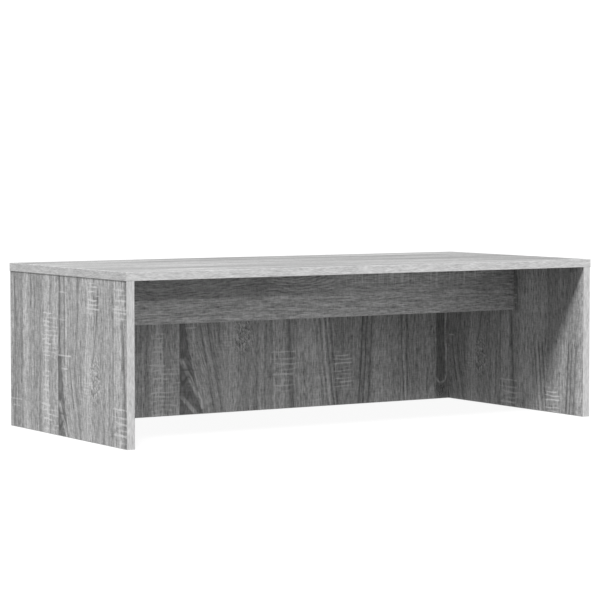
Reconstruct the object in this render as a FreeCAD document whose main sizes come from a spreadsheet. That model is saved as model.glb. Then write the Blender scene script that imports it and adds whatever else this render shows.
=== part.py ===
import FreeCAD, Part
import os
import re

import Sketcher

# Monitor riser stand: a low desk-top shelf of faced chipboard that lies flat in its box and is
# put together with cam locks, cam bolts and dowels. All sizes are in millimetres.
#
# Row frame: +Z up, +X to the right seen from the front, the open front at -Y.
# Origin: the middle of the footprint, on the surface that the stand rests on.

SHEET = "Dimensions"

# Alias, value and meaning of every driving dimension.
DIMENSIONS = [
    ("stand_length", 1000, "overall length, X"),
    ("stand_depth", 450, "overall depth, Y"),
    ("stand_height", 300, "overall height, Z"),
    ("board_thickness", 15, "every board"),
    ("side_inset", 1, "overhang of the top past the outer face of each side"),
    ("rail_height", 92, "rail under the top"),
    ("band_thickness", 1, "edge bands"),
    ("band_rounding", 0.6, "radius of a band's two outer long edges"),
    ("cam_bore_diameter", 15, "bore for a cam lock"),
    ("cam_bore_depth", 12.5, "bore for a cam lock"),
    ("cam_setback", 34, "from the joint between two boards to a cam's axis"),
    ("bolt_bore_diameter", 8, "bore in a board's edge that lets a cam bolt reach its cam"),
    ("pilot_diameter", 5, "bore that a cam bolt screws into"),
    ("pilot_depth", 11, "bore that a cam bolt screws into"),
    ("dowel_bore_diameter", 8, "both bores of a dowel"),
    ("dowel_face_bore", 11, "depth of a dowel's bore in a board's face"),
    ("dowel_edge_bore", 21, "depth of a dowel's bore in a board's edge"),
    ("side_cam_front", 40, "Y of the front cam of a side"),
    ("side_cam_rear", 175, "Y of the rear cam of a side"),
    ("side_dowel_front", 180, "the front dowel of a side is this far in front of the middle"),
    ("side_dowel_rear", 80, "the next dowel of a side is this far in front of the middle"),
    ("back_cam_low", 60, "height of the lower cam at each end of the back"),
    ("back_cam_high", 220, "height of the upper cam at each end of the back"),
    ("back_dowel_level", 140, "height of the dowel at each end of the back"),
    ("back_top_cam", 300, "X of the cams that hold the top to the back"),
    ("back_top_dowel", 150, "X of the dowels between top and back"),
    ("rail_end_cam", 60, "from the underside of the top to the cam at each end of the rail"),
    ("rail_end_dowel", 30, "from the underside of the top to the dowel at each end of the rail"),
    ("rail_top_cam", 250, "X of the cams that hold the top to the rail"),
    ("rail_top_dowel", 350, "X of the dowels between top and rail"),
    ("cam_radius", 7.45, "cam lock"),
    ("cam_height", 12, "cam lock"),
    ("cam_chamfer", 0.3, "both rims of a cam lock"),
    ("cam_sink", 0.2, "a cam's face lies this far under the board's face"),
    ("cavity_radius", 4.8, "hollow that holds the bolt's head"),
    ("cavity_offset", 0.5, "its eccentricity, away from the bolt when locked"),
    ("cavity_half", 3.4, "half its height"),
    ("neck_slot_half", 2.2, "half the width of the slot that the bolt's neck runs in"),
    ("entry_radius", 3.45, "hole that the bolt's head enters through when unlocked"),
    ("cross_half_length", 3.25, "driver recess of a cam"),
    ("cross_half_width", 0.7, "driver recess of a cam"),
    ("cross_depth", 2.5, "driver recess of a cam"),
    ("arrow_tip", 6.6, "arrow on a cam's face: its point's distance from the axis"),
    ("arrow_base", 4.7, "arrow on a cam's face: its base's distance from the axis"),
    ("arrow_half_width", 1.3, "arrow on a cam's face"),
    ("arrow_depth", 0.4, "arrow on a cam's face"),
    ("thread_length", 10.8, "threaded end of a cam bolt"),
    ("thread_core", 2.3, "radius"),
    ("thread_crest", 3.15, "radius"),
    ("thread_pitch", 2.1, "one thread"),
    ("collar_radius", 3.7, "collar that stops a cam bolt at the board's face"),
    ("collar_height", 2.5, "collar of a cam bolt"),
    ("shaft_radius", 3, "cam bolt"),
    ("shaft_length", 25, "cam bolt, from the joint to its neck"),
    ("neck_radius", 2, "cam bolt"),
    ("head_radius", 3.25, "ball head of a cam bolt"),
    ("head_level", 33, "from the joint to the middle of the ball head"),
    ("head_cross_length", 1.7, "half length of the driver recess in the ball head"),
    ("head_cross_width", 0.4, "half width of the driver recess in the ball head"),
    ("head_cross_depth", 1.6, "driver recess in the ball head"),
    ("dowel_radius", 3.95, "fluted dowel"),
    ("dowel_in_face", 10, "part of a dowel in the board's face"),
    ("dowel_in_edge", 20, "part of a dowel in the other board's edge"),
    ("dowel_chamfer", 0.8, "both ends of a dowel"),
    ("flute_radius", 0.6, "cutter that makes a flute"),
    ("flute_depth", 0.25, "flutes of a dowel"),
    ("flute_count", 14, "flutes round a dowel"),
]

# Lengths that follow from the driving dimensions, as expressions.
INNER_HALF = "(stand_length / 2 - side_inset - board_thickness)"
SIDE_MIDDLE = f"({INNER_HALF} + board_thickness / 2)"
HALF_LENGTH = "(stand_length / 2)"
HALF_DEPTH = "(stand_depth / 2)"
HALF_BOARD = "(board_thickness / 2)"
UNDER_TOP = "(stand_height - board_thickness)"
BACK_MIDDLE = f"({HALF_DEPTH} - {HALF_BOARD})"
CAM_LEVEL = f"({UNDER_TOP} - cam_setback)"
END_CAM = f"({INNER_HALF} - cam_setback)"
BOLT_LEVEL = f"({HALF_BOARD} - cam_sink)"
THREADS = 5
FULL_TURN = 360

X = FreeCAD.Vector(1, 0, 0)
Y = FreeCAD.Vector(0, 1, 0)
Z = FreeCAD.Vector(0, 0, 1)
DOWN = FreeCAD.Rotation(X, 180)
TO_RIGHT = FreeCAD.Rotation(Y, 90)
TO_LEFT = FreeCAD.Rotation(Y, -90)

doc = FreeCAD.newDocument("monitor_riser_stand")
sheet = doc.addObject("Spreadsheet::Sheet", SHEET)
sub_parts = []


# ---------------------------------------------------------------- the sheet and its expressions

def fill_sheet():
    """One row for each driving dimension: its name, its value and what it means."""
    for row, (alias, size, meaning) in enumerate(DIMENSIONS, start=1):
        sheet.set(f"A{row}", alias)
        sheet.set(f"B{row}", str(size))
        sheet.setAlias(f"B{row}", alias)
        sheet.set(f"C{row}", meaning)
    doc.recompute()


def with_sheet(expression):
    """The expression with the sheet's name put before each alias."""
    return re.sub(r"[a-z_]{2,}", lambda word: f"{SHEET}.{word.group()}", expression)


def value(expression):
    """What an expression comes to now."""
    return float(sheet.evalExpression(with_sheet(expression)))


def bind(thing, path, expression):
    """Binds one property of an object to the sheet."""
    thing.setExpression(path, with_sheet(expression))


def place(thing, position, rotation=None):
    """Turns an object and binds its position to the sheet."""
    if rotation is not None:
        thing.Placement = FreeCAD.Placement(FreeCAD.Vector(), rotation)
    for axis, distance in zip("xyz", position):
        bind(thing, f"Placement.Base.{axis}", distance)


# ---------------------------------------------------------------- sketches and features

def new_body(name):
    """A body whose label is the name of its file."""
    body = doc.addObject("PartDesign::Body", name)
    body.Label = name
    return body


def origin_feature(body, role):
    """One of the body's own origin planes or axes."""
    return next(item for item in body.Origin.OriginFeatures if item.Role == role)


def new_sketch(body, name, role, offset="0"):
    """A sketch on one of the body's origin planes, moved along the plane's normal."""
    sketch = body.newObject("Sketcher::SketchObject", name)
    sketch.AttachmentSupport = (origin_feature(body, role), "")
    sketch.MapMode = "FlatFace"
    bind(sketch, "AttachmentOffset.Base.z", offset)
    return sketch


def pin_point(sketch, geometry, point, place_on_sketch):
    """Holds one point of a sketch at a position given by two expressions."""
    vertical_axis = -2
    horizontal_axis = -1
    kinds = (("DistanceX", vertical_axis), ("DistanceY", horizontal_axis))
    for (kind, axis), distance in zip(kinds, place_on_sketch):
        if distance == "0":
            sketch.addConstraint(Sketcher.Constraint("PointOnObject", geometry, point, axis))
            continue
        here = value(distance)
        made = sketch.addConstraint(Sketcher.Constraint(kind, -1, 1, geometry, point, here))
        bind(sketch, f"Constraints[{made}]", distance)


def add_outline(sketch, corners):
    """A closed outline of straight lines through corners given as pairs of expressions."""
    points = [FreeCAD.Vector(value(across), value(up), 0) for across, up in corners]
    count = len(points)
    first = sketch.GeometryCount
    for index, point in enumerate(points):
        sketch.addGeometry(Part.LineSegment(point, points[(index + 1) % count]))
    for index, corner in enumerate(corners):
        following = first + (index + 1) % count
        sketch.addConstraint(Sketcher.Constraint("Coincident", first + index, 2, following, 1))
        pin_point(sketch, first + index, 1, corner)


def add_rectangle(sketch, left, right, bottom, top):
    """A rectangle between four coordinates."""
    add_outline(sketch, [(left, bottom), (right, bottom), (right, top), (left, top)])


def add_cross(sketch, half_length, half_width):
    """The outline of a cross recess."""
    a = half_length
    b = half_width
    arms = [(a, f"-{b}"), (a, b), (b, b), (b, a), (f"-{b}", a), (f"-{b}", b)]
    mirrored = [(f"-{a}", b), (f"-{a}", f"-{b}"), (f"-{b}", f"-{b}"), (f"-{b}", f"-{a}")]
    add_outline(sketch, arms + mirrored + [(b, f"-{a}"), (b, f"-{b}")])


def add_circle(sketch, centre, radius):
    """A circle at a centre given by two expressions."""
    across, up = (value(distance) for distance in centre)
    circle = Part.Circle(FreeCAD.Vector(across, up, 0), Z, value(radius))
    made = sketch.addGeometry(circle)
    pin_point(sketch, made, 3, centre)
    size = sketch.addConstraint(Sketcher.Constraint("Radius", made, value(radius)))
    bind(sketch, f"Constraints[{size}]", radius)


def pad(body, name, sketch, length, towards_normal=True):
    """Adds material on one side of a sketch."""
    feature = body.newObject("PartDesign::Pad", name)
    feature.Profile = sketch
    feature.Reversed = not towards_normal
    bind(feature, "Length", length)
    doc.recompute()
    return feature


def cut(body, name, sketch, depth, towards_normal=False):
    """Removes material on one side of a sketch, and makes sure that it did."""
    before = body.Shape.Volume
    feature = body.newObject("PartDesign::Pocket", name)
    feature.Profile = sketch
    feature.Reversed = towards_normal
    bind(feature, "Length", depth)
    doc.recompute()
    if body.Shape.Volume >= before:
        raise RuntimeError(f"{body.Label}: {name} cuts nothing")
    return feature


def revolve(body, name, sketch):
    """Turns a half outline about the sketch's upright axis."""
    feature = body.newObject("PartDesign::Revolution", name)
    feature.Profile = sketch
    feature.ReferenceAxis = (sketch, ["V_Axis"])
    feature.Angle = FULL_TURN
    doc.recompute()
    return feature


def drill(body, name, role, offset, centres, diameter, depth, towards_normal=False):
    """Round holes of one size, drilled from one plane."""
    sketch = new_sketch(body, f"{name}_centres", role, offset)
    for centre in centres:
        add_circle(sketch, centre, f"{diameter} / 2")
    cut(body, name, sketch, depth, towards_normal)


def both_sides(distance):
    """A distance to the right of the middle and the same to the left."""
    return [distance, f"-{distance}"]


# ---------------------------------------------------------------- boards

def make_top_board():
    """The top, without its bands. Its own origin is the middle of its underside."""
    body = new_body("top_board")
    core = new_sketch(body, "top_outline", "XY_Plane")
    right = f"({HALF_LENGTH} - band_thickness)"
    rear = f"({HALF_DEPTH} - band_thickness)"
    add_rectangle(core, f"-{right}", right, f"-{rear}", rear)
    pad(body, "top_panel", core, "board_thickness")
    pilots = [(x, y) for x in both_sides(SIDE_MIDDLE) for y in ("side_cam_front", "side_cam_rear")]
    pilots += [(x, "0") for x in both_sides("rail_top_cam")]
    pilots += [(x, BACK_MIDDLE) for x in both_sides("back_top_cam")]
    drill(body, "top_pilots", "XY_Plane", "0", pilots, "pilot_diameter", "pilot_depth", True)
    dowels = [
        (x, y) for x in both_sides(SIDE_MIDDLE) for y in ("-side_dowel_front", "-side_dowel_rear")
    ]
    dowels += [(x, "0") for x in both_sides("rail_top_dowel")]
    dowels += [(x, BACK_MIDDLE) for x in both_sides("back_top_dowel")]
    drill(
        body, "top_dowel_bores", "XY_Plane", "0", dowels, "dowel_bore_diameter", "dowel_face_bore", True
    )
    place(body, ("0", "0", UNDER_TOP))
    sub_parts.append(body)


def make_side_board(name, hand):
    """One side, without its bands. Its own origin lies on its inner face, under its middle."""
    body = new_body(f"{name}_side_board")
    outwards_is_normal = hand > 0
    core = new_sketch(body, f"{name}_side_outline", "YZ_Plane")
    rear = f"({HALF_DEPTH} - band_thickness)"
    add_rectangle(core, f"-{rear}", rear, "band_thickness", UNDER_TOP)
    pad(body, f"{name}_side_panel", core, "board_thickness", outwards_is_normal)
    inner_face = ("YZ_Plane", "0")
    cams = [(y, CAM_LEVEL) for y in ("side_cam_front", "side_cam_rear")]
    drill(
        body, f"{name}_cam_bores", *inner_face, cams, "cam_bore_diameter", "cam_bore_depth",
        outwards_is_normal,
    )
    pilots = [(BACK_MIDDLE, "back_cam_low"), (BACK_MIDDLE, "back_cam_high")]
    pilots += [("0", f"({UNDER_TOP} - rail_end_cam)")]
    drill(
        body, f"{name}_pilots", *inner_face, pilots, "pilot_diameter", "pilot_depth",
        outwards_is_normal,
    )
    dowels = [(BACK_MIDDLE, "back_dowel_level"), ("0", f"({UNDER_TOP} - rail_end_dowel)")]
    drill(
        body, f"{name}_dowel_bores", *inner_face, dowels, "dowel_bore_diameter", "dowel_face_bore",
        outwards_is_normal,
    )
    middle = HALF_BOARD if outwards_is_normal else f"-{HALF_BOARD}"
    top_edge = ("XY_Plane", UNDER_TOP)
    bolts = [(middle, y) for y in ("side_cam_front", "side_cam_rear")]
    drill(body, f"{name}_bolt_bores", *top_edge, bolts, "bolt_bore_diameter", "cam_setback")
    dowels = [(middle, y) for y in ("-side_dowel_front", "-side_dowel_rear")]
    drill(body, f"{name}_top_dowel_bores", *top_edge, dowels, "dowel_bore_diameter", "dowel_edge_bore")
    place(body, (INNER_HALF if outwards_is_normal else f"-{INNER_HALF}", "0", "0"))
    sub_parts.append(body)


def make_cross_board(name, tall, end_cams, end_dowel, top_cam, top_dowel, position):
    """A board between the sides, without its band.

    Its own origin lies on its rear face, at its lower edge, in the middle of its length.
    """
    body = new_body(name)
    core = new_sketch(body, f"{name}_outline", "XZ_Plane")
    add_rectangle(core, f"-{INNER_HALF}", INNER_HALF, "band_thickness", tall)
    pad(body, f"{name}_panel", core, "board_thickness")
    cams = [(x, level) for x in both_sides(END_CAM) for level in end_cams]
    cams += [(x, f"({tall} - cam_setback)") for x in both_sides(top_cam)]
    drill(
        body, f"{name}_cam_bores", "XZ_Plane", "0", cams, "cam_bore_diameter", "cam_bore_depth", True
    )
    middle = f"-{HALF_BOARD}"
    bolts = [(middle, level) for level in end_cams]
    for end, offset in zip(("right", "left"), both_sides(INNER_HALF)):
        inwards = (end == "left")
        drill(
            body, f"{name}_{end}_bolt_bores", "YZ_Plane", offset, bolts,
            "bolt_bore_diameter", "cam_setback", inwards,
        )
        drill(
            body, f"{name}_{end}_dowel_bore", "YZ_Plane", offset, [(middle, end_dowel)],
            "dowel_bore_diameter", "dowel_edge_bore", inwards,
        )
    drill(
        body, f"{name}_top_bolt_bores", "XY_Plane", tall, [(x, middle) for x in both_sides(top_cam)],
        "bolt_bore_diameter", "cam_setback",
    )
    drill(
        body, f"{name}_top_dowel_bores", "XY_Plane", tall,
        [(x, middle) for x in both_sides(top_dowel)], "dowel_bore_diameter", "dowel_edge_bore",
    )
    place(body, position)
    sub_parts.append(body)


def make_boards():
    """The five boards."""
    make_top_board()
    make_side_board("left", -1)
    make_side_board("right", 1)
    make_cross_board(
        "back_board", UNDER_TOP, ("back_cam_low", "back_cam_high"), "back_dowel_level",
        "back_top_cam", "back_top_dowel", ("0", HALF_DEPTH, "0"),
    )
    make_cross_board(
        "support_rail", "rail_height", ("(rail_height - rail_end_cam)",),
        "(rail_height - rail_end_dowel)", "rail_top_cam", "rail_top_dowel",
        ("0", HALF_BOARD, f"({UNDER_TOP} - rail_height)"),
    )


# ---------------------------------------------------------------- edge bands

def make_band(name, length, outwards, across, position):
    """One edge band, rounded on its two outer long edges.

    In its own frame it is centred along X, glued on at Y = 0 and spans the board's thickness in Z.
    """
    body = new_body(name)
    section = new_sketch(body, f"{name}_section", "YZ_Plane", f"-{length} / 2")
    add_rectangle(section, "0", "band_thickness", "0", "board_thickness")
    strip = pad(body, f"{name}_strip", section, length)
    outer_face = value("band_thickness")
    long_edges = [
        f"Edge{index}"
        for index, edge in enumerate(strip.Shape.Edges, start=1)
        if edge.BoundBox.YMin > outer_face / 2 and edge.BoundBox.XLength > value(length) / 2
    ]
    rounding = body.newObject("PartDesign::Fillet", f"{name}_rounding")
    rounding.Base = (strip, long_edges)
    bind(rounding, "Radius", "band_rounding")
    place(body, position, FreeCAD.Rotation(outwards.cross(across), outwards, across, "ZYX"))
    sub_parts.append(body)


def make_top_bands():
    """Front and rear bands run the full length; the end bands fit between them."""
    core_end = f"({HALF_LENGTH} - band_thickness)"
    core_edge = f"({HALF_DEPTH} - band_thickness)"
    between = "(stand_depth - 2 * band_thickness)"
    make_band("top_front_band", "stand_length", -Y, Z, ("0", f"-{core_edge}", UNDER_TOP))
    make_band("top_rear_band", "stand_length", Y, Z, ("0", core_edge, UNDER_TOP))
    make_band("top_left_band", between, -X, Z, (f"-{core_end}", "0", UNDER_TOP))
    make_band("top_right_band", between, X, Z, (core_end, "0", UNDER_TOP))


def make_side_bands(name, inner_face, across):
    """Front and rear bands run down to the floor; the bottom band fits between them."""
    core_edge = f"({HALF_DEPTH} - band_thickness)"
    between = "(stand_depth - 2 * band_thickness)"
    half_way = f"{UNDER_TOP} / 2"
    make_band(f"{name}_side_front_band", UNDER_TOP, -Y, across, (inner_face, f"-{core_edge}", half_way))
    make_band(f"{name}_side_rear_band", UNDER_TOP, Y, across, (inner_face, core_edge, half_way))
    make_band(f"{name}_side_bottom_band", between, -Z, across, (inner_face, "0", "band_thickness"))


def make_bands():
    """Every banded edge: all that can be seen or touched, and the edges on the floor."""
    make_top_bands()
    make_side_bands("left", f"-{INNER_HALF}", -X)
    make_side_bands("right", INNER_HALF, X)
    inner_length = f"(2 * {INNER_HALF})"
    rail_bottom = f"({UNDER_TOP} - rail_height + band_thickness)"
    make_band("back_bottom_band", inner_length, -Z, -Y, ("0", HALF_DEPTH, "band_thickness"))
    make_band("rail_bottom_band", inner_length, -Z, -Y, ("0", HALF_BOARD, rail_bottom))


# ---------------------------------------------------------------- cam locks

def make_cam(name, position, outwards, towards_joint):
    """One cam lock in its locked position.

    In its own frame +Z leaves the board's face, +X points at the bolt, and the face is Z = 0.
    """
    body = new_body(name)
    half = new_sketch(body, f"{name}_half_section", "XZ_Plane")
    rim = "(cam_radius - cam_chamfer)"
    upper = [("0", "0"), (rim, "0"), ("cam_radius", "-cam_chamfer")]
    lower = [("cam_radius", "-(cam_height - cam_chamfer)"), (rim, "-cam_height"), ("0", "-cam_height")]
    add_outline(half, upper + lower)
    revolve(body, f"{name}_barrel", half)

    cavity = new_sketch(body, f"{name}_cavity_outline", "XY_Plane", f"-({BOLT_LEVEL} - cavity_half)")
    add_circle(cavity, ("-cavity_offset", "0"), "cavity_radius")
    cut(body, f"{name}_cavity", cavity, "(2 * cavity_half)")

    slot = new_sketch(body, f"{name}_slot_outline", "XY_Plane", f"-({BOLT_LEVEL} - neck_slot_half)")
    add_rectangle(slot, "-cam_height", "cam_height", "-cam_height", "neck_slot_half")
    cut(body, f"{name}_neck_slot", slot, "(2 * neck_slot_half)")

    entry = new_sketch(body, f"{name}_entry_outline", "YZ_Plane")
    add_circle(entry, ("0", f"-{BOLT_LEVEL}"), "entry_radius")
    cut(body, f"{name}_entry", entry, "cam_height")

    cross = new_sketch(body, f"{name}_cross_outline", "XY_Plane")
    add_cross(cross, "cross_half_length", "cross_half_width")
    cut(body, f"{name}_cross", cross, "cross_depth")

    arrow = new_sketch(body, f"{name}_arrow_outline", "XY_Plane")
    base = "-arrow_base"
    add_outline(arrow, [("-arrow_tip", "0"), (base, "-arrow_half_width"), (base, "arrow_half_width")])
    cut(body, f"{name}_arrow", arrow, "arrow_depth")

    place(body, position, FreeCAD.Rotation(towards_joint, outwards.cross(towards_joint), outwards, "ZXY"))
    sub_parts.append(body)


def make_side_cams():
    """Two cams in the inner face of each side hold the top."""
    sunk = f"({INNER_HALF} + cam_sink)"
    for side, x, outwards in (("left", f"-{sunk}", X), ("right", sunk, -X)):
        for end in ("front", "rear"):
            make_cam(f"cam_lock_{side}_{end}", (x, f"side_cam_{end}", CAM_LEVEL), outwards, Z)


def make_rear_face_cams(board, face, end_levels, top_cam):
    """Cams in the rear face of a cross board: some at its ends, two under the top."""
    y = f"({face} - cam_sink)"
    for side, sign, towards_joint in (("left", "-", -X), ("right", "", X)):
        for label, level in end_levels:
            name = f"cam_lock_{board}_{side}_{label}"
            make_cam(name, (f"{sign}{END_CAM}", y, level), Y, towards_joint)
        make_cam(f"cam_lock_{board}_top_{side}", (f"{sign}{top_cam}", y, CAM_LEVEL), Y, Z)


def make_cams():
    """All cam locks."""
    make_side_cams()
    back_levels = (("low", "back_cam_low"), ("high", "back_cam_high"))
    make_rear_face_cams("back", HALF_DEPTH, back_levels, "back_top_cam")
    rail_levels = (("end", f"({UNDER_TOP} - rail_end_cam)"),)
    make_rear_face_cams("rail", HALF_BOARD, rail_levels, "rail_top_cam")


# ---------------------------------------------------------------- cam bolts and dowels

def make_bolt():
    """The cam bolt that every group repeats.

    Its own origin is on the joint between the boards, and +Z runs to the ball head.
    """
    body = new_body("cam_bolt")
    half = new_sketch(body, "bolt_half_section", "XZ_Plane")
    tip = "-thread_length"
    thread = [("0", tip)]
    for turn in range(THREADS):
        for radius, share in (("thread_core", 0), ("thread_core", 0.4), ("thread_crest", 0.7)):
            thread.append((radius, f"({tip} + {turn + share} * thread_pitch)"))
    thread.append(("thread_core", f"({tip} + {THREADS} * thread_pitch)"))
    stem = [
        ("thread_core", "0"),
        ("collar_radius", "0"),
        ("collar_radius", "collar_height"),
        ("shaft_radius", "collar_height"),
        ("shaft_radius", "shaft_length"),
        ("neck_radius", "(shaft_length + shaft_radius - neck_radius)"),
        ("neck_radius", "head_level"),
        ("0", "head_level"),
    ]
    add_outline(half, thread + stem)
    revolve(body, "bolt_stem", half)

    ball = body.newObject("PartDesign::AdditiveSphere", "bolt_ball")
    ball.AttachmentSupport = (origin_feature(body, "XY_Plane"), "")
    ball.MapMode = "FlatFace"
    bind(ball, "AttachmentOffset.Base.z", "head_level")
    bind(ball, "Radius", "head_radius")
    doc.recompute()

    cross = new_sketch(body, "bolt_cross_outline", "XY_Plane", "(head_level + head_radius)")
    add_cross(cross, "head_cross_length", "head_cross_width")
    cut(body, "bolt_cross", cross, "head_cross_depth")
    return body


def make_dowel():
    """The fluted dowel that every group repeats, with its origin on the joint between the boards."""
    body = new_body("fluted_dowel")
    half = new_sketch(body, "dowel_half_section", "XZ_Plane")
    low = "-dowel_in_face"
    high = "dowel_in_edge"
    end = "(dowel_radius - dowel_chamfer)"
    lower = [("0", low), (end, low), ("dowel_radius", f"({low} + dowel_chamfer)")]
    upper = [("dowel_radius", f"({high} - dowel_chamfer)"), (end, high), ("0", high)]
    add_outline(half, lower + upper)
    revolve(body, "dowel_rod", half)

    flute = new_sketch(body, "flute_outline", "XY_Plane", low)
    add_circle(flute, ("(dowel_radius + flute_radius - flute_depth)", "0"), "flute_radius")
    groove = cut(body, "dowel_flute", flute, "(dowel_in_face + dowel_in_edge)", True)
    ring = body.newObject("PartDesign::PolarPattern", "dowel_flutes")
    ring.Originals = [groove]
    ring.Axis = (origin_feature(body, "Z_Axis"), [""])
    ring.Angle = FULL_TURN
    bind(ring, "Occurrences", "flute_count")
    body.Tip = ring
    doc.recompute()
    return body


def make_group(name, piece, positions, rotation):
    """Copies of one fastener, kept as separate solids of one sub-part."""
    copies = []
    for number, position in enumerate(positions, start=1):
        copy = doc.addObject("App::Link", f"{name}_{number}")
        copy.LinkedObject = piece
        place(copy, position, rotation)
        copies.append(copy)
    group = doc.addObject("Part::Compound", name)
    group.Label = name
    group.Links = copies
    sub_parts.append(group)


def make_bolts(bolt):
    """The cam bolts, grouped by the board that they are screwed into."""
    rail_level = f"({UNDER_TOP} - rail_end_cam)"
    in_top = [
        (x, y, UNDER_TOP) for x in both_sides(SIDE_MIDDLE) for y in ("side_cam_front", "side_cam_rear")
    ]
    in_top += [(x, "0", UNDER_TOP) for x in both_sides("rail_top_cam")]
    in_top += [(x, BACK_MIDDLE, UNDER_TOP) for x in both_sides("back_top_cam")]
    make_group("top_cam_bolts", bolt, in_top, DOWN)
    for side, x, rotation in (("left", f"-{INNER_HALF}", TO_RIGHT), ("right", INNER_HALF, TO_LEFT)):
        in_side = [(x, BACK_MIDDLE, level) for level in ("back_cam_low", "back_cam_high")]
        make_group(f"{side}_side_cam_bolts", bolt, in_side + [(x, "0", rail_level)], rotation)


def make_dowels(dowel):
    """The dowels, grouped by the joint that they line up."""
    for side, x in (("left", f"-{SIDE_MIDDLE}"), ("right", SIDE_MIDDLE)):
        in_top = [(x, y, UNDER_TOP) for y in ("-side_dowel_front", "-side_dowel_rear")]
        make_group(f"dowels_top_{side}_side", dowel, in_top, DOWN)
    in_rail = [(x, "0", UNDER_TOP) for x in both_sides("rail_top_dowel")]
    make_group("dowels_top_rail", dowel, in_rail, DOWN)
    in_back = [(x, BACK_MIDDLE, UNDER_TOP) for x in both_sides("back_top_dowel")]
    make_group("dowels_top_back", dowel, in_back, DOWN)
    rail_level = f"({UNDER_TOP} - rail_end_dowel)"
    for side, x, rotation in (("left", f"-{INNER_HALF}", TO_RIGHT), ("right", INNER_HALF, TO_LEFT)):
        make_group(f"dowel_{side}_back", dowel, [(x, BACK_MIDDLE, "back_dowel_level")], rotation)
        make_group(f"dowel_{side}_rail", dowel, [(x, "0", rail_level)], rotation)


# ---------------------------------------------------------------- checks and files

def check_document():
    """Stops if any object failed to rebuild or any sub-part has a bad shape."""
    for thing in doc.Objects:
        if "Invalid" in thing.State or "Error" in thing.State:
            raise RuntimeError(f"{thing.Label} failed: {thing.State}")
    for part in sub_parts:
        if part.Shape.isNull() or not part.Shape.isValid():
            raise RuntimeError(f"{part.Label} has a bad shape")


def write_parts():
    """One STEP file for each sub-part, named after its label."""
    os.makedirs("parts", exist_ok=True)
    for part in sub_parts:
        part.Shape.exportStep(f"parts/{part.Label}.step")
        size = part.Shape.BoundBox
        extent = f"{size.XLength:.1f} x {size.YLength:.1f} x {size.ZLength:.1f}"
        print(f"{part.Label}: {extent}, {len(part.Shape.Solids)} solid(s)")


fill_sheet()
make_boards()
make_bands()
make_cams()
make_bolts(make_bolt())
make_dowels(make_dowel())
doc.recompute()
check_document()
write_parts()
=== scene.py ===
"""Looks, light and camera for the riser stand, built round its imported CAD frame.

Every board is chipboard faced with one printed grey oak decor. The decor is worked out here from
millimetre coordinates: across the grain (u) and along it (v).
"""

import math

import bpy
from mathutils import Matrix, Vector


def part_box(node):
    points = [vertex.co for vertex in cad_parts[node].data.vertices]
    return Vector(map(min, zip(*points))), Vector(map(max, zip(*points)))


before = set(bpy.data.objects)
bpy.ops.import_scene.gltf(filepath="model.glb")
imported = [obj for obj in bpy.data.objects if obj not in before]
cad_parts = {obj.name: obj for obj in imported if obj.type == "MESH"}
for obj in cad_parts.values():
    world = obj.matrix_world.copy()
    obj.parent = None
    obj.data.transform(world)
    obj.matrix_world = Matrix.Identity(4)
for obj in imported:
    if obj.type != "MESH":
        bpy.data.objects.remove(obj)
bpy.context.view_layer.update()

MM_PER_METRE = 1000.0

# How much light each surface gives back, as a share of what falls on it.
DECOR_ALBEDO = 0.46
BAND_ALBEDO = 0.60
DECOR_CONTRAST = 1.15

# The darkest and lightest tone of the print, with 1 for the plain wood.
DARKEST_TONE = 0.30
LIGHTEST_TONE = 1.55

# Gloss and relief of the printed surfaces. Pressed-in places are rougher and raised ones smoother.
DECOR_ROUGHNESS = 0.46
DECOR_RELIEF_MM = 0.06
BAND_ROUGHNESS = 0.44
BAND_RELIEF_MM = 0.03
RELIEF_ROUGHNESS = 0.16
RAISED_GLOSS = 0.06
MELAMINE_IOR = 1.5

# The thin dark line round a board's face: partly a glue line, partly painted shade in the gaps where boards
# meet.
GLUE_LINE_AND_GAP_SHADE_TONE = 0.62
GLUE_LINE_AND_GAP_SHADE_MM = 0.4
GLUE_LINE_AND_GAP_SHADE_CORE_MM = 0.1

# Colours, as dark and light.
CHIPBOARD_COLOURS = (0.30, 0.20, 0.12), (0.62, 0.47, 0.31)
CHIP_LENGTH_MM = 2.2
CHIP_THICKNESS_MM = 1.1
ZINC_COLOURS = (0.60, 0.61, 0.63), (0.84, 0.85, 0.87)
STEEL_COLOURS = (0.55, 0.55, 0.57), (0.78, 0.78, 0.80)
BEECH_COLOURS = (0.42, 0.27, 0.15), (0.80, 0.62, 0.43)


# ---------------------------------------------------------------- formulas made of shader nodes


class Field:
    """A number that varies over a surface: one output socket of a node tree."""

    def __init__(self, tree, socket):
        self.tree = tree
        self.socket = socket

    def __add__(self, other):
        return maths("ADD", self, other)

    def __radd__(self, other):
        return maths("ADD", other, self)

    def __sub__(self, other):
        return maths("SUBTRACT", self, other)

    def __rsub__(self, other):
        return maths("SUBTRACT", other, self)

    def __mul__(self, other):
        return maths("MULTIPLY", self, other)

    def __rmul__(self, other):
        return maths("MULTIPLY", other, self)

    def __truediv__(self, other):
        return maths("DIVIDE", self, other)


def feed(tree, slot, item):
    """Gives a node's input a field or a plain number."""
    if isinstance(item, Field):
        tree.links.new(item.socket, slot)
    else:
        slot.default_value = item


def tree_of(*items):
    """The node tree that the first field among the items belongs to."""
    return next(item.tree for item in items if isinstance(item, Field))


def maths(operation, *items):
    """One Math node."""
    tree = tree_of(*items)
    node = tree.nodes.new("ShaderNodeMath")
    node.operation = operation
    for slot, item in zip(node.inputs, items):
        feed(tree, slot, item)
    return Field(tree, node.outputs[0])


def rise(field, start, end):
    """0 up to start, 1 from end on, and smooth between; a fall when start is above end."""
    node = field.tree.nodes.new("ShaderNodeMapRange")
    node.interpolation_type = "SMOOTHSTEP"
    node.clamp = False
    for slot, item in zip(node.inputs, (field, start, end, 0.0, 1.0)):
        feed(field.tree, slot, item)
    return Field(field.tree, node.outputs[0])


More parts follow.
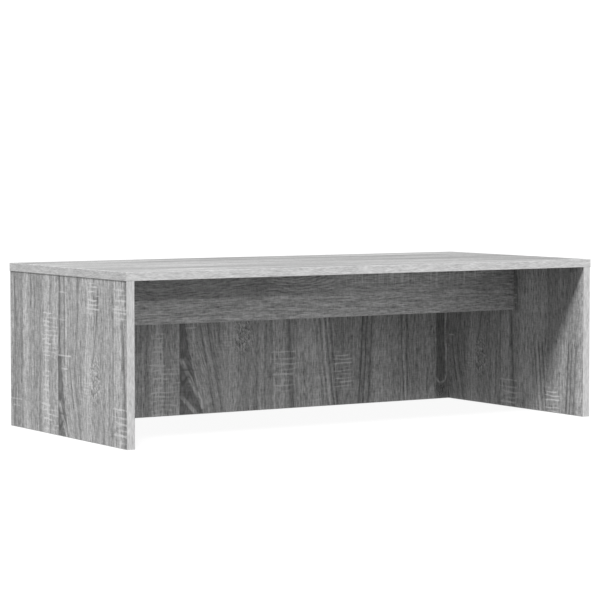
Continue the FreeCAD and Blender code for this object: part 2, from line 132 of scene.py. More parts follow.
def strip(field, low, high, soft):
    """1 between low and high and 0 outside, with edges `soft` wide."""
    return rise(field, low - soft / 2, low + soft / 2) * rise(field, high + soft / 2, high - soft / 2)


def shade(tone, amount, where):
    """The tone multiplied by `amount` where `where` is 1, and left alone where it is 0."""
    return tone * (where * (amount - 1.0) + 1.0)


def ramp(field, stops):
    """The tone at a place, read from a list of (place, tone) stops."""
    node = field.tree.nodes.new("ShaderNodeValToRGB")
    first, last = stops[0][0], stops[-1][0]
    elements = node.color_ramp.elements
    while len(elements) < len(stops):
        elements.new(0.5)
    for element, (place, tone) in zip(elements, stops):
        element.position = (place - first) / (last - first)
        element.color = (1.0, 1.0, 1.0, tone / 2)
    feed(field.tree, node.inputs[0], (field - first) / (last - first))
    return Field(field.tree, node.outputs["Alpha"]) * 2.0


def combined(x, y, z):
    """A vector socket made of three fields or numbers."""
    tree = tree_of(x, y, z)
    node = tree.nodes.new("ShaderNodeCombineXYZ")
    for slot, item in zip(node.inputs, (x, y, z)):
        feed(tree, slot, item)
    return node.outputs[0]


def noise(u, v, across, along, seed, detail=2.0, distortion=0.0):
    """Noise between 0 and 1 whose blobs are about `across` by `along` mm."""
    tree = tree_of(u, v)
    node = tree.nodes.new("ShaderNodeTexNoise")
    node.inputs["Scale"].default_value = 1.0
    node.inputs["Detail"].default_value = detail
    node.inputs["Distortion"].default_value = distortion
    tree.links.new(combined(u / across, v / along, seed), node.inputs["Vector"])
    return Field(tree, node.outputs[0])


def unevenness(v, length, seed):
    """Noise from -0.5 to 0.5 that changes along v only, in steps of about `length` mm."""
    node = v.tree.nodes.new("ShaderNodeTexNoise")
    node.noise_dimensions = "1D"
    node.inputs["Scale"].default_value = 1.0
    node.inputs["Detail"].default_value = 1.0
    feed(v.tree, node.inputs["W"], v / length + seed)
    return Field(v.tree, node.outputs[0]) - 0.5


def make_group(name, build):
    """A node group of (across, along) that gives (tone, relief), shared by several materials."""
    group = bpy.data.node_groups.new(name, "ShaderNodeTree")
    for label in ("Across", "Along"):
        group.interface.new_socket(label, in_out="INPUT", socket_type="NodeSocketFloat")
    for label in ("Tone", "Relief"):
        group.interface.new_socket(label, in_out="OUTPUT", socket_type="NodeSocketFloat")
    given = group.nodes.new("NodeGroupInput")
    result = group.nodes.new("NodeGroupOutput")
    fields = build(Field(group, given.outputs[0]), Field(group, given.outputs[1]))
    for slot, field in zip(result.inputs, fields):
        feed(group, slot, field)
    return group


def use_group(group, u, v):
    """The (tone, relief) fields that a group gives at u, v."""
    tree = tree_of(u, v)
    node = tree.nodes.new("ShaderNodeGroup")
    node.node_tree = group
    feed(tree, node.inputs[0], u)
    feed(tree, node.inputs[1], v)
    return Field(tree, node.outputs[0]), Field(tree, node.outputs[1])


# ---------------------------------------------------------------- the grey oak decor

# Tone across the staves of the upright sheet, as (place in mm, tone) with 1 for the plain wood. The
# three lists join at u = 0 and at u = 329.
LEFT_STAVES = [
    (-260, 0.95), (-200, 1.02), (-178, 0.96), (-174, 0.62), (-169, 0.84), (-142, 0.86), (-136, 1.14),
    (-120, 1.14), (-113, 0.98), (-90, 0.98), (-84, 0.80), (-79, 0.98), (-75, 0.78), (-67, 0.84),
    (-63, 1.04), (-53, 1.08), (-48, 1.26), (-38, 1.24), (-33, 0.92), (-22, 0.92), (-16, 1.08),
    (-0.4, 1.10), (0.4, 0.90),
]
MIDDLE_STAVES = [
    (0.4, 0.90), (16, 0.92), (33, 1.06), (45, 0.96), (60, 1.02), (82, 0.93), (98, 1.06), (112, 1.20),
    (119, 1.24), (127, 1.08), (136, 0.98), (150, 0.94), (162, 1.00), (186, 1.04), (203, 0.96),
    (208, 0.80), (212, 1.12), (236, 1.14), (243, 1.02), (256, 0.94), (268, 1.06), (290, 1.14),
    (312, 1.20), (329, 1.10),
]
RIGHT_STAVES = [
    (329, 1.10), (345, 1.06), (357, 1.00), (362, 0.80), (377, 0.88), (392, 0.86), (399, 1.00),
    (412, 0.90), (430, 0.84), (444, 0.94), (451, 1.06),
    (470, 1.12), (490, 1.06), (506, 0.98), (540, 1.02), (560, 1.05), (586, 1.10), (602.6, 1.08),
    (603.4, 0.58), (623, 0.56), (629, 0.74), (638, 0.84), (660, 0.98), (720, 1.04),
]

# Lines that lean, as (u and v of the top end, u and v of the bottom end, width, tone).
LEANING_LINES = [
    (-180, 290, -166, 190, 4, 0.62),
    (-182, 150, -179, -60, 4, 0.72),
    (-109, 290, -107, 225, 4, 0.66),
    (-92, 290, -93, 40, 3, 0.76),
    (-103, 180, -122, 60, 4, 0.78),
    (-148, 250, -144, 120, 4, 0.82),
    (154, 268, 146, 205, 6, 0.66),
    (146, 207, 133, 138, 5, 0.70),
    (80, 290, 70, 150, 6, 0.74),
    (7, 290, 7, 142, 7, 0.60),
    (25, 290, 25, 126, 5, 0.64),
    (32, 290, 31, 60, 4, 1.20),
    (253, 300, 262, 200, 14, 0.62),
    (239, 215, 250, 85, 8, 0.66),
    (250, 87, 256, -60, 11, 0.62),
    (306, 150, 330, -50, 4, 0.76),
    (316, 150, 340, -50, 4, 0.70),
    (323, 150, 346, -50, 4, 1.20),
    (330, 150, 353, -50, 5, 0.64),
    (342, 150, 362, -50, 5, 0.62),
    (424, 150, 413, -50, 4, 0.58),
    (434, 150, 423, -50, 4, 0.62),
    (446, 150, 436, -50, 5, 0.66),
    (514, 150, 524, -50, 4, 0.66),
    (519, 80, 528, -40, 5, 1.32),
    (529, 150, 533, -40, 5, 0.74),
    (44, 140, 78, -50, 4, 0.70),
    (60, 140, 96, -50, 4, 0.74),
    (92, 200, 86, 60, 5, 0.84),
    (178, 80, 170, -50, 7, 0.78),
    (195, 120, 192, -50, 5, 0.82),
    (626, 150, 627, -2, 5, 1.75),
]

# Saw marks across the grain, as (left, right, bottom, top, spacing, strength).
SAW_MARKS = [
    (-54, -34, 134, 218, 7.7, 0.95),
    (-58, -2, 140, 214, 7.7, 0.40),
    (-56, -36, -60, 114, 8.6, 0.85),
    (-40, -8, -60, 60, 8.6, 0.34),
    (116, 150, 226, 284, 7.7, 0.85),
    (212, 258, 214, 272, 10.0, 0.55),
    (214, 260, -10, 60, 10.5, 0.50),
    (356, 396, -12, 62, 7.6, 0.75),
    (300, 340, -50, 20, 11.0, 0.24),
    (84, 118, 70, 106, 6.0, 0.24),
    (440, 475, -40, 60, 7.0, 0.12),
]

# Single saw marks, as (height, left, right, strength).
SINGLE_MARKS = [
    (144, 1, 50, 0.55),
    (121, 12, 38, 0.40),
    (207, 3, 30, 0.30),
    (256, 4, 36, 0.36),
    (66, 206, 262, 0.50),
    (23, 210, 260, 0.45),
    (236, 206, 262, 0.40),
    (40, -196, -152, 0.36),
    (52, -192, -146, 0.28),
]

STAVE_JOINT_MM = 0.3
LIST_JOINT = 329
LIST_BLEND = 2

# How far the streaks wander, and how strongly each kind of fibre marks the print.
WANDER_MM = 7.0
LINE_STRENGTH = 0.36
THREAD_STRENGTH = 1.65
MOTTLE_STRENGTH = 0.6
WEAVE_STRENGTH = 0.5
PORE_TONE = 0.76

# Saw marks: how far a bar bends, how ragged a row's ends are, and how narrow the bars are.
BAR_BEND_MM = 6.0
RAGGED_END_MM = 30
BAR_SHARPNESS = 3.0
MARK_BEND_MM = 3.0
MARK_HALF_HEIGHT = 1.4

# The dark wedge: its width where its edge bends, how high that is, how fast it widens below and
# narrows above, and its light rays as (height where the ray starts, lean, half width).
BEND_WIDTH = 20
BEND_HEIGHT = 85
SPREAD_BELOW = 0.241
SPREAD_ABOVE = 0.123
WEDGE_TONE = 0.50
WEDGE_RAYS = ((64, 0.52, 7.0), (-8, 0.95, 8.0))
RAY_TONE = 1.9
WEDGE_LEAN_MM = -34.0

# Knots, as (u, v, width, height, seed), and the hook, as (u, v, radius).
KNOTS = [
    (142, 104, 24, 52, 83.3),
    (616, -30, 16, 20, 91.7),
]
RING_STRENGTH = 0.22
RING_TIGHTNESS = 17.0
FLECK_STRENGTH = 2.5
HOOK = (616, -2, 11)
HOOK_TONE = 1.8
HOOK_HALF_WIDTH = 2

# The rail's sheet: tone across its two staves, tone along the upper stave, and where they join.
RAIL_STAVES = [
    (186, 1.12), (198, 1.16), (205, 1.02), (213, 1.10), (222, 1.00), (230, 1.08), (236.4, 1.04),
    (237.4, 0.92), (246, 0.98), (254, 0.88), (262, 1.02), (270, 0.90), (280, 0.98), (292, 0.94),
]
RAIL_UPPER_TONES = [
    (-500, 0.76), (-350, 0.70), (-60, 0.74), (10, 0.90), (120, 0.96), (300, 1.04), (500, 1.0),
]
RAIL_JOINT = (236.4, 237.8)
RAIL_LEAN_CENTRE = 195
RAIL_LEAN = 0.085
RAIL_WANDER = 0.25
RAIL_BAR_STRENGTH = 0.42

# The fan of bent rings on the rail: its middle, its stretch along the rail and its strength.
FAN_ALONG = -26
FAN_HEIGHT = 296
FAN_STRETCH = 2.6
FAN_STRENGTH = 0.24
FAN_RAGGED_MM = 9.0
FAN_RADIANS_PER_MM = 1.15

# The top's sheet.
TOP_TONE = 0.95
TOP_STREAK_STRENGTH = 1.5
TOP_CLOUD_STRENGTH = 1.1
TOP_FIBRE_SHARE = 0.7
TOP_FLECK_STRENGTH = 0.5
TOP_KNOTS = [
    (60, -210, 26, 60, 29.3),
    (-150, 260, 20, 52, 37.9),
]
TOP_SAW_MARKS = [
    (-120, -70, -60, 60, 8.0, 0.16),
    (80, 130, 150, 330, 9.0, 0.16),
    (-30, 5, -420, -300, 8.5, 0.14),
]

# The edge bands' print.
BAND_LINE_STRENGTH = 0.54
BAND_THREAD_STRENGTH = 0.85
BAND_CLOUD_STRENGTH = 0.24


def wavy(u, v):
    """u pushed to and fro a little, so that no streak is dead straight."""
    return u + (noise(u, v, 70, 120, 3.1, 1.0) - 0.5) * WANDER_MM


def fibres(u, v, seed):
    """Fine lines, fibres and pores of the print, about 1 on average, and the relief pressed into it."""
    lines = rise(noise(u, v, 3.1, 75, seed, 3.0), 0.30, 0.70)
    threads = noise(u, v, 1.7, 16, seed + 7.3)
    mottle = noise(u, v, 5, 7, seed + 11.9)
    weave = noise(u, v, 9, 1.7, seed + 31.1, 1.0)
    pores = rise(noise(u, v, 1.4, 12, seed + 23.7, 1.0), 0.58, 0.72)
    tone = 1.0 + (lines - 0.5) * LINE_STRENGTH + (threads - 0.5) * THREAD_STRENGTH
    tone = tone + (mottle - 0.5) * MOTTLE_STRENGTH + (weave - 0.5) * WEAVE_STRENGTH
    tone = shade(tone, PORE_TONE, pores)
    relief = 0.35 * lines + 0.45 * threads - 0.5 * pores + 0.5
    return tone, relief


def leaning_line(u, v, line):
    """1 on a line from its top end to its bottom end."""
    top_u, top_v, bottom_u, bottom_v, width, _ = line
    slope = (top_u - bottom_u) / (top_v - bottom_v)
    place = u - ((v - bottom_v) * slope + bottom_u)
    return strip(place, -width / 2, width / 2, width * 0.5) * strip(v, bottom_v, top_v, 16)


def saw_marks(u, v, left, right, bottom, top, spacing):
    """Light bars across the grain, uneven in height, length and strength."""
    uneven = v + (noise(u, v, 26, 17, 41.3, 1.0) - 0.5) * BAR_BEND_MM
    wave = maths("COSINE", uneven * (2 * math.pi / spacing)) * 0.5 + 0.5
    bars = maths("POWER", wave, BAR_SHARPNESS)
    strong = rise(noise(u, v, 30, 5, 57.7 + left, 1.0), 0.30, 0.60)
    start = unevenness(v, 6, 61.7 + left) * RAGGED_END_MM + left
    end = unevenness(v, 6, 287.7 + right) * RAGGED_END_MM + right
    across = rise(u - start, -5, 5) * rise(end - u, -5, 5)
    return bars * strong * across * strip(v, bottom, top, 20)


def single_mark(u, v, height, left, right):
    """One thin light line across the grain, broken here and there."""
    bent = v + (noise(u, v, 30, 30, 97.1, 1.0) - 0.5) * MARK_BEND_MM
    broken = rise(noise(u, v, 9, 60, 3.7 + height, 1.0), 0.25, 0.5)
    line = strip(bent, height - MARK_HALF_HEIGHT, height + MARK_HALF_HEIGHT, 1.2)
    return line * strip(u, left, right, 5) * broken


def dark_wedge(u, v, tone):
    """The dark heartwood that opens downwards from the stave joint at u = 0, with light rays in it."""
    below = BEND_WIDTH + (BEND_HEIGHT - v) * SPREAD_BELOW
    above = BEND_WIDTH - (v - BEND_HEIGHT) * SPREAD_ABOVE
    edge = maths("MAXIMUM", below, above)
    ragged = edge + (noise(u, v, 20, 16, 71.9) - 0.5) * 9.0
    inside = rise(u, -STAVE_JOINT_MM, STAVE_JOINT_MM) * rise(ragged - u, -1.5, 2.5) * rise(v, 150, 138)
    tone = shade(tone, WEDGE_TONE, inside)
    for start, slope, width in WEDGE_RAYS:
        centre = (start - v) * slope + 2.0
        ray = rise(maths("ABSOLUTE", u - centre), width, width * 0.4) * rise(v, start + 2, start - 8)
        tone = shade(tone, RAY_TONE, ray * rise(u, -STAVE_JOINT_MM, STAVE_JOINT_MM) * rise(u, 60, 40))
    return tone


def knot(u, v, tone, place, fleck_strength):
    """A burr: slanting flecks and bent rings round a point, fading into the straight grain."""
    centre_u, centre_v, width, height, seed = place
    across = (u - centre_u) / width
    along = (v - centre_v) / height
    distance = maths("SQRT", across * across + along * along)
    bent = distance + (noise(u, v, 9, 12, seed, 2.0, 0.6) - 0.5) * 1.1
    rings = maths("SINE", bent * RING_TIGHTNESS)
    flecks = noise(u * 0.8 + v * 0.6, v * 0.8 - u * 0.6, 1.9, 6, seed + 1.3) - 0.5
    return tone * (1.0 + (rings * RING_STRENGTH + flecks * fleck_strength) * rise(distance, 1.2, 0.4))


def hook(u, v, tone):
    """The light vein's lower end, bent back under the dark stave."""
    centre_u, centre_v, radius = HOOK
    across = u - centre_u
    along = v - centre_v
    distance = maths("SQRT", across * across + along * along)
    ring = strip(distance, radius - HOOK_HALF_WIDTH, radius + HOOK_HALF_WIDTH, 2)
    return shade(tone, HOOK_TONE, ring * rise(along, 4, -2))


def upright_decor(u, v):
    """The sheet that the two sides and the back are cut from."""
    bent = wavy(u, v)
    sheared = bent + rise(v, 150, -50) * strip(u, 14, 105, 30) * WEDGE_LEAN_MM
    first, last = LIST_JOINT - LIST_BLEND, LIST_JOINT + LIST_BLEND
    tone = ramp(bent, LEFT_STAVES) * rise(u, STAVE_JOINT_MM, -STAVE_JOINT_MM)
    middle = ramp(bent, MIDDLE_STAVES) * rise(u, -STAVE_JOINT_MM, STAVE_JOINT_MM)
    tone = tone + middle * rise(u, last, first)
    tone = tone + ramp(bent, RIGHT_STAVES) * rise(u, first, last)
    for line in LEANING_LINES:
        tone = shade(tone, line[5], leaning_line(bent, v, line))
    tone = dark_wedge(u, v, tone)
    for place in KNOTS:
        tone = knot(u, v, tone, place, FLECK_STRENGTH)
    tone = hook(u, v, tone)
    fine, relief = fibres(sheared, v, 5.5)
    tone = tone * fine
    for left, right, bottom, top, spacing, strength in SAW_MARKS:
        marks = saw_marks(u, v, left, right, bottom, top, spacing)
        tone = tone + marks * strength
    for height, left, right, strength in SINGLE_MARKS:
        tone = tone + single_mark(u, v, height, left, right) * strength
    return tone, relief


def rail_decor(u, v):
    """The strip that the rail is cut from: u is the height and v runs along the rail."""
    lean = strip(v, -330, -60, 120) * rise(u, 230, 245)
    straight = wavy(u, v) * RAIL_WANDER + u * (1.0 - RAIL_WANDER)
    bent = straight - lean * (v + RAIL_LEAN_CENTRE) * RAIL_LEAN
    tone = ramp(bent, RAIL_STAVES)
    above = rise(u, *RAIL_JOINT)
    darker = ramp(v, RAIL_UPPER_TONES)
    tone = tone * (1.0 + above * (darker - 1.0))
    across = (v - FAN_ALONG) / FAN_STRETCH
    upward = u - FAN_HEIGHT
    distance = maths("SQRT", across * across + upward * upward)
    ragged = distance + (noise(u, v, 9, 20, 13.1) - 0.5) * FAN_RAGGED_MM
    arcs = maths("SINE", ragged * FAN_RADIANS_PER_MM)
    fan = strip(v, -78, 62, 60) * above * rise(distance, 75, 35)
    tone = tone * (1.0 + arcs * fan * FAN_STRENGTH)
    fine, relief = fibres(bent, v, 33.1)
    tone = tone * fine
    bars = rise(noise(u, v, 60, 3.6, 47.3), 0.48, 0.68)
    tone = tone + bars * above * strip(v, 90, 440, 60) * rise(u, 238, 262) * RAIL_BAR_STRENGTH
    return tone, relief


def top_decor(u, v):
    """The sheet of the top: u runs across its depth and v along its length."""
    bent = wavy(u, v)
    streaks = noise(bent, v, 17, 420, 63.1, 2.0)
    clouds = noise(bent, v, 60, 900, 17.7, 1.0)
    tone = TOP_TONE + (streaks - 0.5) * TOP_STREAK_STRENGTH + (clouds - 0.5) * TOP_CLOUD_STRENGTH
    for place in TOP_KNOTS:
        tone = knot(u, v, tone, place, TOP_FLECK_STRENGTH)
    for left, right, bottom, top, spacing, strength in TOP_SAW_MARKS:
        tone = tone + saw_marks(u, v, left, right, bottom, top, spacing) * strength
    fine, relief = fibres(bent, v, 21.9)
    return tone * (fine * TOP_FIBRE_SHARE + (1.0 - TOP_FIBRE_SHARE)), relief


def band_decor(u, v):
    """The calmer print of the edge bands: fine lines along the band."""
    lines = noise(u, v, 3.0, 34, 51.1)
    threads = noise(u, v, 1.1, 9, 52.7)
    cloud = noise(u, v, 20, 30, 53.9)
    tone = 1.0 + (lines - 0.5) * BAND_LINE_STRENGTH + (threads - 0.5) * BAND_THREAD_STRENGTH
    tone = tone + (cloud - 0.5) * BAND_CLOUD_STRENGTH
    relief = 0.5 * lines + 0.5 * threads
    return tone, relief


UPRIGHT_SHEET = make_group("oak_upright_sheet", upright_decor)
RAIL_SHEET = make_group("oak_rail_sheet", rail_decor)
TOP_SHEET = make_group("oak_top_sheet", top_decor)
BAND_SHEET = make_group("oak_band_sheet", band_decor)


# ---------------------------------------------------------------- materials


def new_material(name):
    """An empty node material and its shader."""
    material = bpy.data.materials.new(name)
    material.use_nodes = True
    tree = material.node_tree
    tree.nodes.clear()
    output = tree.nodes.new("ShaderNodeOutputMaterial")
    shader = tree.nodes.new("ShaderNodeBsdfPrincipled")
    tree.links.new(shader.outputs[0], output.inputs["Surface"])
    return material, tree, shader


def place_fields(tree):
    """The x, y and z of the surface in millimetres in the row frame."""
    coordinates = tree.nodes.new("ShaderNodeTexCoord")
    split = tree.nodes.new("ShaderNodeSeparateXYZ")
    tree.links.new(coordinates.outputs["Object"], split.inputs[0])
    return [Field(tree, socket) * MM_PER_METRE for socket in split.outputs]


def grey(field):
    """A neutral colour of that brightness."""
    node = field.tree.nodes.new("ShaderNodeCombineColor")
    for slot in node.inputs[:3]:
        feed(field.tree, slot, field)
    return node.outputs[0]


def tinted(field, dark, light):
    """A colour between dark and light, chosen by a field from 0 to 1."""
    node = field.tree.nodes.new("ShaderNodeValToRGB")
    node.color_ramp.elements[0].color = (*dark, 1.0)
    node.color_ramp.elements[1].color = (*light, 1.0)
    feed(field.tree, node.inputs[0], field)
    return node.outputs[0]


def add_bump(tree, shader, relief, depth_mm):
    """Relief pressed into the surface, `depth_mm` deep."""
    node = tree.nodes.new("ShaderNodeBump")
    node.inputs["Strength"].default_value = 1.0
    node.inputs["Distance"].default_value = depth_mm / MM_PER_METRE
    feed(tree, node.inputs["Height"], relief)
    tree.links.new(node.outputs[0], shader.inputs["Normal"])


def edge_distance(fields, box):
    """How far a point on a board's face is from the face's nearest edge, in mm."""
    nearest = None
    for field, low, high in zip(fields, *box):
        if high - low > FACE_MIN_MM:
            for gap in (field - low, high - field):
                nearest = gap if nearest is None else maths("MINIMUM", nearest, gap)
    return nearest


def decor_material(name, sheet, place, albedo, roughness, depth_mm, box=None):
    """Melamine or edge band printed with a sheet; place(x, y, z) says where on the sheet a point is."""
    material, tree, shader = new_material(name)
    fields = place_fields(tree)
    tone, relief = use_group(sheet, *place(*fields))
    tone = maths("MINIMUM", maths("MAXIMUM", tone, DARKEST_TONE), LIGHTEST_TONE)
    tone = maths("POWER", tone, DECOR_CONTRAST)
    # Darkens each face along its edges: a glue line, and painted shade in the gaps between boards.
    if box:
        glue_and_gap_shade = rise(edge_distance(fields, box), GLUE_LINE_AND_GAP_SHADE_MM, GLUE_LINE_AND_GAP_SHADE_CORE_MM)
        tone = shade(tone, GLUE_LINE_AND_GAP_SHADE_TONE, glue_and_gap_shade)
    tree.links.new(grey(tone * albedo), shader.inputs["Base Color"])
    smoothest = roughness - RAISED_GLOSS
    feed(tree, shader.inputs["Roughness"], (1.0 - relief) * RELIEF_ROUGHNESS + smoothest)
    shader.inputs["IOR"].default_value = MELAMINE_IOR
    add_bump(tree, shader, relief, depth_mm)
    return material


def chipboard_material():
    """Bare chipboard, seen in the bores and on the hidden edges."""
    material, tree, shader = new_material("raw_chipboard")
    x, y, z = place_fields(tree)
    flakes = tree.nodes.new("ShaderNodeTexVoronoi")
    flakes.inputs["Scale"].default_value = 1.0
    place = combined(x / CHIP_LENGTH_MM, y / CHIP_LENGTH_MM, z / CHIP_THICKNESS_MM)
    tree.links.new(place, flakes.inputs["Vector"])
    split = tree.nodes.new("ShaderNodeSeparateColor")
    tree.links.new(flakes.outputs["Color"], split.inputs[0])
    chips = Field(tree, split.outputs[0])
    dust = noise(x + z, y, 0.5, 0.5, 4.4)
    colour = tinted(chips * 0.7 + dust * 0.3, *CHIPBOARD_COLOURS)
    tree.links.new(colour, shader.inputs["Base Color"])
    feed(tree, shader.inputs["Roughness"], 0.95 - chips * 0.15)
    add_bump(tree, shader, chips * 0.6 + dust * 0.4, 0.25)
    return material


def metal_material(name, colours, roughness, grain_mm, depth_mm):
    """Cast or plated metal with a fine uneven skin."""
    material, tree, shader = new_material(name)
    x, y, z = place_fields(tree)
    skin = noise(x + z * 0.7, y + z * 0.7, grain_mm, grain_mm, 8.8, 3.0)
    stain = noise(x - z * 0.6, y + z * 0.8, grain_mm * 9, grain_mm * 9, 9.9)
    tree.links.new(tinted(skin * 0.5 + stain * 0.5, *colours), shader.inputs["Base Color"])
    feed(tree, shader.inputs["Roughness"], stain * 0.22 + (roughness - 0.11))
    shader.inputs["Metallic"].default_value = 1.0
    add_bump(tree, shader, skin, depth_mm)
    return material


def beech_material():
    """Raw beech for the dowels, with short dark flecks along the grain."""
    material, tree, shader = new_material("raw_beech")
    x, y, z = place_fields(tree)
    strands = noise(x + y, z, 0.7, 9, 14.4)
    flecks = rise(noise(x + y, z, 0.5, 2.4, 15.5, 1.0), 0.60, 0.70)
    tone = strands * 0.8 + 0.1
    colour = tinted(shade(tone, 0.55, flecks), *BEECH_COLOURS)
    tree.links.new(colour, shader.inputs["Base Color"])
    feed(tree, shader.inputs["Roughness"], 0.75 - strands * 0.15)
    add_bump(tree, shader, strands - flecks * 0.4, 0.05)
    return material


# Where each board lies on its sheet, in mm: across the grain, then along it.
BOARD_PLACES = {
    "left_side_board": (UPRIGHT_SHEET, lambda x, y, z: (32.0 - y, z)),
    "right_side_board": (UPRIGHT_SHEET, lambda x, y, z: (243.0 - y, z + 13.0)),
    "back_board": (UPRIGHT_SHEET, lambda x, y, z: (x + 151.0, z - 46.0)),
    "support_rail": (RAIL_SHEET, lambda x, y, z: (z, x)),
    "top_board": (TOP_SHEET, lambda x, y, z: (y, x)),
}

# The axis that each board's two faces look along.
BOARD_NORMALS = {
    "left_side_board": 0,
    "right_side_board": 0,
    "back_board": 1,
    "support_rail": 1,
    "top_board": 2,
}

# The axes across and along each edge band.
BAND_DIRECTIONS = {
    "top_front_band": (2, 0),
    "top_rear_band": (2, 0),
    "top_left_band": (2, 1),
    "top_right_band": (2, 1),
    "left_side_front_band": (0, 2),
    "left_side_rear_band": (0, 2),
    "right_side_front_band": (0, 2),
    "right_side_rear_band": (0, 2),
    "left_side_bottom_band": (0, 1),
    "right_side_bottom_band": (0, 1),
    "back_bottom_band": (1, 0),
    "rail_bottom_band": (1, 0),
}
FACE_TOLERANCE = 0.00005
FACE_STRAIGHTNESS = 0.9
FACE_MIN_MM = 20.0


def dress(node, *materials):
    """Gives a node these material slots."""
    slots = node.data.materials
    slots.clear()
    for material in materials:
        slots.append(material)


def paint_board(name, chipboard):
    """The printed decor on a board's two faces, and bare chipboard on its edges and in its bores."""
    sheet, place = BOARD_PLACES[name]
    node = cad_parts[name]
    axis = BOARD_NORMALS[name]
    low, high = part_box(name)
    box = (low * MM_PER_METRE, high * MM_PER_METRE)
    label = "grey_oak_" + name
    decor = decor_material(label, sheet, place, DECOR_ALBEDO, DECOR_ROUGHNESS, DECOR_RELIEF_MM, box)
    dress(node, decor, chipboard)
    for face in node.data.polygons:
        level = face.center[axis]
        on_face = min(abs(level - low[axis]), abs(level - high[axis])) < FACE_TOLERANCE
        printed = on_face and abs(face.normal[axis]) > FACE_STRAIGHTNESS
        face.material_index = 0 if printed else 1


def paint_bands():
    """One material for each direction a band can run in."""
    made = {}
    for name, (across, along) in BAND_DIRECTIONS.items():
        if (across, along) not in made:
            label = "oak_band_" + "xyz"[across] + "xyz"[along]

            def place(x, y, z, across=across, along=along):
                axes = (x, y, z)
                return axes[across], axes[along]

            band = decor_material(label, BAND_SHEET, place, BAND_ALBEDO, BAND_ROUGHNESS, BAND_RELIEF_MM)
            made[across, along] = band
        dress(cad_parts[name], made[across, along])


def paint_fittings():
    """Cast zinc cams, plated bolts and beech dowels."""
    cast_zinc = metal_material("cast_zinc", ZINC_COLOURS, roughness=0.56, grain_mm=0.35, depth_mm=0.03)
    plated_steel = metal_material("plated_steel", STEEL_COLOURS, roughness=0.30, grain_mm=0.2, depth_mm=0.01)
    beech = beech_material()
    for name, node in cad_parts.items():
        if name.startswith("cam_lock"):
            dress(node, cast_zinc)
        elif name.endswith("cam_bolts"):
            dress(node, plated_steel)
        elif name.startswith("dowel"):
            dress(node, beech)


raw_chipboard = chipboard_material()
for board in BOARD_PLACES:
    paint_board(board, raw_chipboard)
paint_bands()
paint_fittings()


# ---------------------------------------------------------------- floor, backdrop and light

FLOOR_SIZE = 120.0
FLOOR_LEVEL = -0.0003
BACKDROP_RADIUS = 55.0
BACKDROP_GLOW = 1.1
FLOOR_GLOW = 0.93
FLOOR_ALBEDO = 0.12
EVEN_LIGHT = 0.03
SUN_TOWARDS = (-0.327, -0.404, 0.846)
SUN_STRENGTH = 4.3
SUN_SOFTNESS_DEG = 15.0

# Soft boxes, as (turn from the right towards the back, height above the floor line, both in degrees,
# tightness, brightness).
SOFT_BOXES = [
    (-22, 0, 12, 0.45),
    (-45, 10, 8, 0.90),
    (-60, -25, 4, 0.22),
    (-115, 0, 4, 0.40),
    (180, -8, 4, 0.24),
    (150, 10, 4, 0.58),
    (75, 10, 3, 0.38),
]

# The camera: where it stands in metres, its turn from +Y towards +X, its dip, and its lens.
CAMERA_PLACE = (-2.42531, -3.80144, 0.49124)
CAMERA_TURN_DEG = 32.418
CAMERA_DIP_DEG = 3.355
CAMERA_LENS_MM = 144.95
CAMERA_SENSOR_MM = 36.0
CAMERA_REACH = 200.0


def plain_mesh(name, points, faces):
    """A mesh object made of points and faces."""
    mesh = bpy.data.meshes.new(name)
    mesh.from_pydata(points, [], faces)
    item = bpy.data.objects.new(name, mesh)
    bpy.context.scene.collection.objects.link(item)
    return item


def glowing_material(name, glow, albedo):
    """White that lights itself, with a little matt surface that takes faint shadows."""
    material, tree, shader = new_material(name)
    shader.inputs["Base Color"].default_value = (albedo, albedo, albedo, 1.0)
    shader.inputs["Roughness"].default_value = 1.0
    shader.inputs["Specular IOR Level"].default_value = 0.0
    shader.inputs["Emission Color"].default_value = (1.0, 1.0, 1.0, 1.0)
    shader.inputs["Emission Strength"].default_value = glow
    material.cycles.emission_sampling = "NONE"
    return material


def make_floor():
    """A pale floor under the stand, which sends no light up to it."""
    half = FLOOR_SIZE / 2
    corners = ((-half, -half), (half, -half), (half, half), (-half, half))
    floor = plain_mesh("floor", [(x, y, FLOOR_LEVEL) for x, y in corners], [(0, 1, 2, 3)])
    floor.data.materials.append(glowing_material("pale_floor", FLOOR_GLOW, FLOOR_ALBEDO))
    floor.visible_diffuse = False
    floor.visible_glossy = False
    floor.visible_shadow = False


def make_backdrop():
    """A white shell all round, seen by the camera only."""
    rings, sectors = 12, 24
    points = [(0, 0, -BACKDROP_RADIUS), (0, 0, BACKDROP_RADIUS)]
    for ring in range(1, rings):
        tilt = math.pi * ring / rings
        for sector in range(sectors):
            turn = 2 * math.pi * sector / sectors
            points.append((
                BACKDROP_RADIUS * math.sin(tilt) * math.cos(turn),
                BACKDROP_RADIUS * math.sin(tilt) * math.sin(turn),
                -BACKDROP_RADIUS * math.cos(tilt),
            ))
    faces = []
    last = 2 + (rings - 2) * sectors
    for sector in range(sectors):
        following = (sector + 1) % sectors
        faces.append((0, 2 + following, 2 + sector))
        faces.append((1, last + sector, last + following))
        for ring in range(rings - 2):
            base = 2 + ring * sectors
            above = base + sectors
            faces.append((base + sector, base + following, above + following, above + sector))
    shell = plain_mesh("backdrop", points, faces)
    shell.data.materials.append(glowing_material("white_backdrop", BACKDROP_GLOW, 0.0))
    shell.visible_diffuse = False
    shell.visible_glossy = False
    shell.visible_shadow = False


def direction_to(turn_deg, height_deg):
    """The direction at a turn about Z, from +X, and a height above the horizon."""
    turn, height = math.radians(turn_deg), math.radians(height_deg)
    return Vector((math.cos(turn) * math.cos(height), math.sin(turn) * math.cos(height), math.sin(height)))


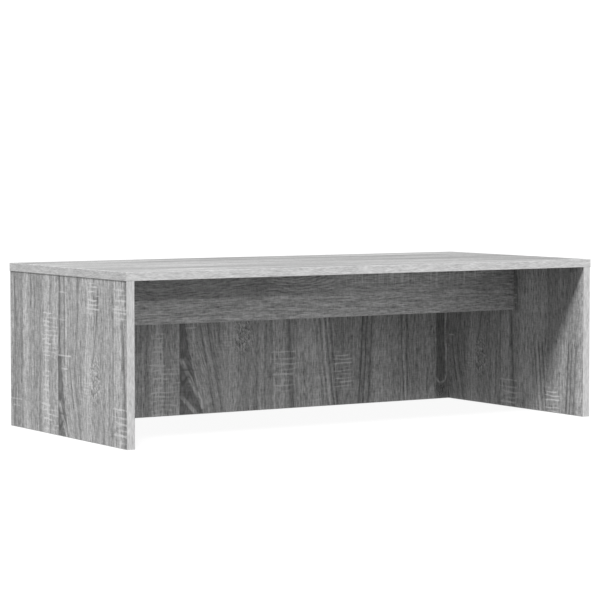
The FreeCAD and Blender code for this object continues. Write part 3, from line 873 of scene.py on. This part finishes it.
def make_sky():
    """Soft boxes blended into one sky, which lights the stand and shows in its gloss."""
    world = bpy.data.worlds.new("soft_light")
    bpy.context.scene.world = world
    world.use_nodes = True
    tree = world.node_tree
    background = next(node for node in tree.nodes if node.type == "BACKGROUND")
    background.inputs["Color"].default_value = (1.0, 1.0, 1.0, 1.0)
    coordinates = tree.nodes.new("ShaderNodeTexCoord")
    strength = None
    for turn, height, tightness, brightness in SOFT_BOXES:
        facing = tree.nodes.new("ShaderNodeVectorMath")
        facing.operation = "DOT_PRODUCT"
        tree.links.new(coordinates.outputs["Generated"], facing.inputs[0])
        facing.inputs[1].default_value = direction_to(turn, height)
        lit = maths("MAXIMUM", Field(tree, facing.outputs["Value"]), 0.0)
        box = maths("POWER", lit, tightness) * brightness
        strength = box + (EVEN_LIGHT if strength is None else strength)
    feed(tree, background.inputs["Strength"], strength)
    world.cycles_visibility.camera = False


def make_sun():
    """The key light: a large soft source from the front left."""
    data = bpy.data.lights.new("key_light", "SUN")
    data.energy = SUN_STRENGTH
    data.angle = math.radians(SUN_SOFTNESS_DEG)
    sun = bpy.data.objects.new("key_light", data)
    sun.rotation_euler = Vector(SUN_TOWARDS).to_track_quat("Z", "Y").to_euler()
    bpy.context.scene.collection.objects.link(sun)


def make_camera():
    """The camera where the photographer stood."""
    yaw, pitch = math.radians(CAMERA_TURN_DEG), math.radians(CAMERA_DIP_DEG)
    direction = Vector((
        math.sin(yaw) * math.cos(pitch),
        math.cos(yaw) * math.cos(pitch),
        -math.sin(pitch),
    ))
    data = bpy.data.cameras.new("camera")
    data.sensor_width = CAMERA_SENSOR_MM
    data.lens = CAMERA_LENS_MM
    data.clip_end = CAMERA_REACH
    camera = bpy.data.objects.new("camera", data)
    camera.location = CAMERA_PLACE
    camera.rotation_euler = direction.to_track_quat("-Z", "Y").to_euler()
    bpy.context.scene.collection.objects.link(camera)
    bpy.context.scene.camera = camera


def set_tone_curve():
    """Plain display colours, with no film look."""
    view = bpy.context.scene.view_settings
    view.view_transform = "Standard"
    view.look = "None"
    view.exposure = 0.0
    view.gamma = 1.0


make_floor()
make_backdrop()
make_sky()
make_sun()
make_camera()
set_tone_curve()
